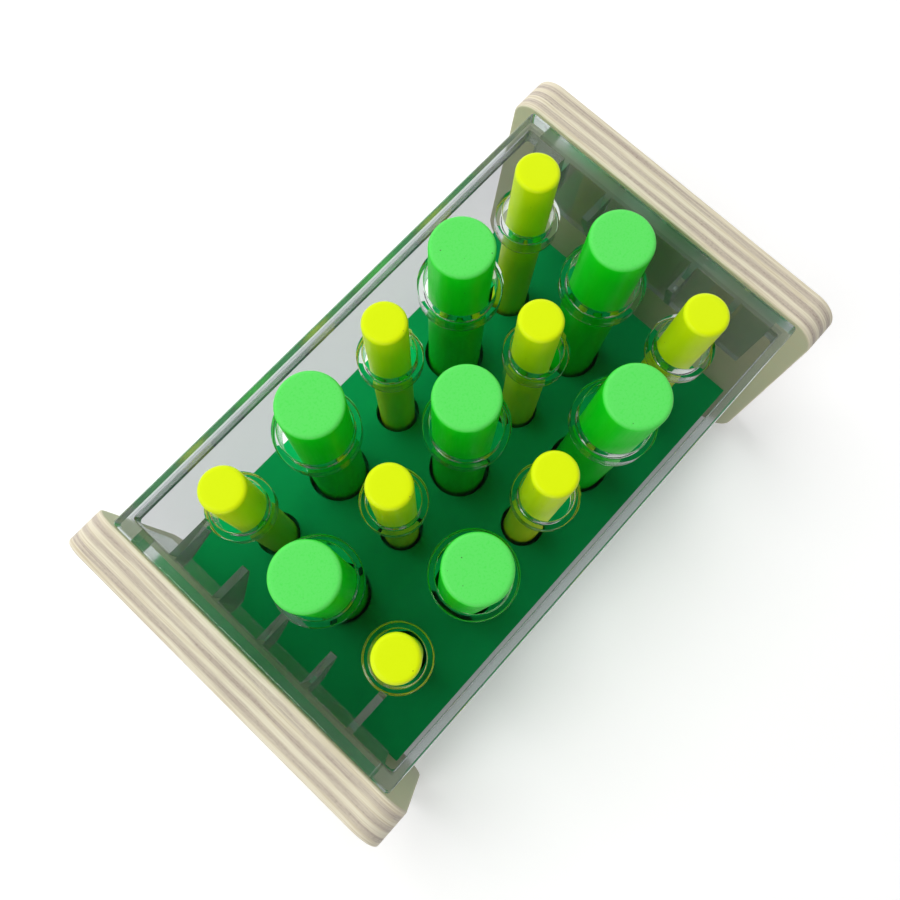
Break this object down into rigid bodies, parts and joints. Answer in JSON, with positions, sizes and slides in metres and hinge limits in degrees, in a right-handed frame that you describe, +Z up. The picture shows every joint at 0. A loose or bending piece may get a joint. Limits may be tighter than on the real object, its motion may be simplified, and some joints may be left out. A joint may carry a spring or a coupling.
{
  "type": "clear-topped peg board",
  "caption": "Peg board toy: plywood ends carry a green socketed plate and a clear top with collars, where loose thin and thick round pegs stand and lift out.",
  "frame": {"origin": "on the table under the middle of the board, midway between the end plates", "axes": "+X along the board towards the far end plate, +Y across the board towards column 1 of the pegs, +Z up along the pegs"},
  "size_m": [0.1974, 0.1242, 0.12],
  "materials": {
    "plywood": "light plywood, sanded and clear coated, plies showing at the edges",
    "green_plate": "dark green satin lacquer",
    "clear_plastic": "clear, polished moulding",
    "dowel_wood": "raw beech",
    "yellow_paint": "lime yellow gloss paint",
    "green_paint": "bright green gloss paint"
  },
  "bodies": {
    "board": {"end_plate_near": "plywood", "end_plate_far": "plywood", "peg_plate": "green_plate", "clear_top": "clear_plastic", "dowel_1": "dowel_wood", "dowel_2": "dowel_wood", "dowel_3": "dowel_wood", "dowel_4": "dowel_wood"},
    "peg_r1_c1": {"peg_r1_c1_thin": "yellow_paint"},
    "peg_r1_c2": {"peg_r1_c2_thick": "green_paint"},
    "peg_r1_c3": {"peg_r1_c3_thin": "yellow_paint"},
    "peg_r2_c1": {"peg_r2_c1_thick": "green_paint"},
    "peg_r2_c2": {"peg_r2_c2_thin": "yellow_paint"},
    "peg_r2_c3": {"peg_r2_c3_thick": "green_paint"},
    "peg_r3_c1": {"peg_r3_c1_thin": "yellow_paint"},
    "peg_r3_c2": {"peg_r3_c2_thick": "green_paint"},
    "peg_r3_c3": {"peg_r3_c3_thin": "yellow_paint"},
    "peg_r4_c1": {"peg_r4_c1_thick": "green_paint"},
    "peg_r4_c2": {"peg_r4_c2_thin": "yellow_paint"},
    "peg_r4_c3": {"peg_r4_c3_thick": "green_paint"},
    "peg_r5_c1": {"peg_r5_c1_thin": "yellow_paint"},
    "peg_r5_c2": {"peg_r5_c2_thick": "green_paint"},
    "peg_r5_c3": {"peg_r5_c3_thin": "yellow_paint"}
  },
  "joints": [
    {"name": "lift_r1_c1", "type": "slide", "parent": "board", "child": "peg_r1_c1", "axis": [0, 0, 1], "range_m": [0, 0.09]},
    {"name": "lift_r1_c2", "type": "slide", "parent": "board", "child": "peg_r1_c2", "axis": [0, 0, 1], "range_m": [0, 0.09]},
    {"name": "lift_r1_c3", "type": "slide", "parent": "board", "child": "peg_r1_c3", "axis": [0, 0, 1], "range_m": [0, 0.09]},
    {"name": "lift_r2_c1", "type": "slide", "parent": "board", "child": "peg_r2_c1", "axis": [0, 0, 1], "range_m": [0, 0.09]},
    {"name": "lift_r2_c2", "type": "slide", "parent": "board", "child": "peg_r2_c2", "axis": [0, 0, 1], "range_m": [0, 0.09]},
    {"name": "lift_r2_c3", "type": "slide", "parent": "board", "child": "peg_r2_c3", "axis": [0, 0, 1], "range_m": [0, 0.09]},
    {"name": "lift_r3_c1", "type": "slide", "parent": "board", "child": "peg_r3_c1", "axis": [0, 0, 1], "range_m": [0, 0.09]},
    {"name": "lift_r3_c2", "type": "slide", "parent": "board", "child": "peg_r3_c2", "axis": [0, 0, 1], "range_m": [0, 0.09]},
    {"name": "lift_r3_c3", "type": "slide", "parent": "board", "child": "peg_r3_c3", "axis": [0, 0, 1], "range_m": [0, 0.09]},
    {"name": "lift_r4_c1", "type": "slide", "parent": "board", "child": "peg_r4_c1", "axis": [0, 0, 1], "range_m": [0, 0.09]},
    {"name": "lift_r4_c2", "type": "slide", "parent": "board", "child": "peg_r4_c2", "axis": [0, 0, 1], "range_m": [0, 0.09]},
    {"name": "lift_r4_c3", "type": "slide", "parent": "board", "child": "peg_r4_c3", "axis": [0, 0, 1], "range_m": [0, 0.09]},
    {"name": "lift_r5_c1", "type": "slide", "parent": "board", "child": "peg_r5_c1", "axis": [0, 0, 1], "range_m": [0, 0.09]},
    {"name": "lift_r5_c2", "type": "slide", "parent": "board", "child": "peg_r5_c2", "axis": [0, 0, 1], "range_m": [0, 0.09]},
    {"name": "lift_r5_c3", "type": "slide", "parent": "board", "child": "peg_r5_c3", "axis": [0, 0, 1], "range_m": [0, 0.09]}
  ]
}
